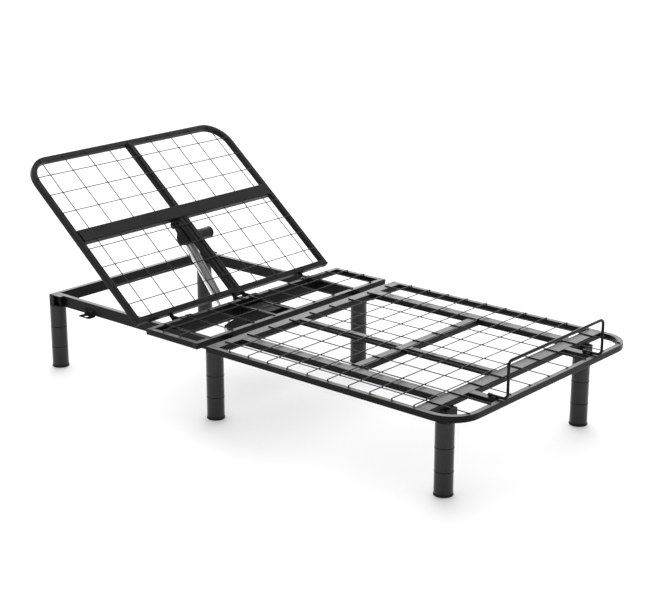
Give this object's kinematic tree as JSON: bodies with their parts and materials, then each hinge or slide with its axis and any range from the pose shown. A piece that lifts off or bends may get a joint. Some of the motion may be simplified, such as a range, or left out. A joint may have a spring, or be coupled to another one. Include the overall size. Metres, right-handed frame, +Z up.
{
  "type": "adjustable_bed_base",
  "caption": "Adjustable bed base in black steel: wire mesh deck on round legs, hinged backrest raised by a linear actuator, wire mattress retainer at the foot.",
  "frame": {"origin": "On the floor, at the centre of the footprint's bounding box with the backrest at rest.", "axes": "+Z up, +Y toward the head end, which is also the long way, +X to the right of someone lying on their back with the head at +Y."},
  "size_m": [0.956, 1.886, 0.7637],
  "materials": {
    "frame_black": "satin black powder coat",
    "mesh_black": "satin black powder coat on wire",
    "leg_black": "satin black powder coat on tube",
    "plastic_black": "fine textured moulding",
    "zinc_steel": "bright zinc plate",
    "rail_aluminium": "natural anodised extrusion",
    "rod_chrome": "hard chrome"
  },
  "bodies": {
    "base": {"side_rail_left": "frame_black", "side_rail_right": "frame_black", "head_cross_rail": "frame_black", "mid_cross_rail": "frame_black", "seam_cross_rail": "frame_black", "seat_centre_rails": "frame_black", "head_leg_brackets": "frame_black", "foot_leg_brackets": "frame_black", "seat_head_tube": "frame_black", "seat_foot_tube": "frame_black", "seat_side_tubes": "frame_black", "foot_side_tubes": "frame_black", "foot_corner_bends": "frame_black", "foot_end_tube": "frame_black", "seam_crossbar": "frame_black", "foot_rails": "frame_black", "foot_centre_rail": "frame_black", "mid_crossbar": "frame_black", "foot_crossbar": "frame_black", "retainer_stubs": "frame_black", "seam_plates": "frame_black", "hinge_lugs": "frame_black", "lower_bracket_ears": "frame_black", "lower_bracket_base": "frame_black", "retainer_bar": "frame_black", "side_bracket": "frame_black", "hinge_bolts": "frame_black", "seat_wires_long": "mesh_black", "seat_wires_cross": "mesh_black", "foot_wires_long": "mesh_black", "foot_wires_cross": "mesh_black", "mesh_weld_pads": "mesh_black", "leg_upper_sections": "leg_black", "leg_middle_sections": "leg_black", "leg_lower_sections": "leg_black", "rail_end_plugs": "plastic_black", "tube_end_caps": "plastic_black", "leg_glides": "plastic_black", "retainer_saddles": "plastic_black", "retainer_caps": "plastic_black", "control_box": "plastic_black", "leg_studs": "zinc_steel", "seam_bolts": "zinc_steel", "lower_bolt_heads": "zinc_steel"},
    "backrest": {"back_side_tubes": "frame_black", "back_corner_bends": "frame_black", "back_top_tube": "frame_black", "back_bottom_tube": "frame_black", "back_crossbar": "frame_black", "back_stringers": "frame_black", "back_wires_long": "mesh_black", "back_wires_cross": "mesh_black", "back_weld_pads": "mesh_black", "back_end_caps": "plastic_black", "hinge_arms": "frame_black", "actuator_top_bracket": "frame_black"},
    "actuator": {"gear_housing": "plastic_black", "drive_motor": "plastic_black", "guide_rail": "rail_aluminium"},
    "rod": {"actuator_rod": "rod_chrome"}
  },
  "joints": [
    {"name": "backrest_hinge", "type": "hinge", "parent": "base", "child": "backrest", "pos_m": [0, 0.36302, 0.282], "axis": [1, 0, 0], "range_deg": [-39.5, 15.5]},
    {"name": "actuator_pivot", "type": "hinge", "parent": "backrest", "child": "actuator", "pos_m": [0, 0.67853, 0.49], "axis": [1, 0, 0], "range_deg": [-1.71, 4.37]},
    {"name": "actuator_stroke", "type": "slide", "parent": "actuator", "child": "rod", "axis": [0, -0.6309, -0.7758], "range_m": [-0.08377, 0.03287]}
  ],
  "couplings": [
    {"joint": "actuator_pivot", "follows": "backrest_hinge", "ratio": -0.1106},
    {"joint": "actuator_stroke", "follows": "backrest_hinge", "m_per_rad": 0.12151}
  ]
}
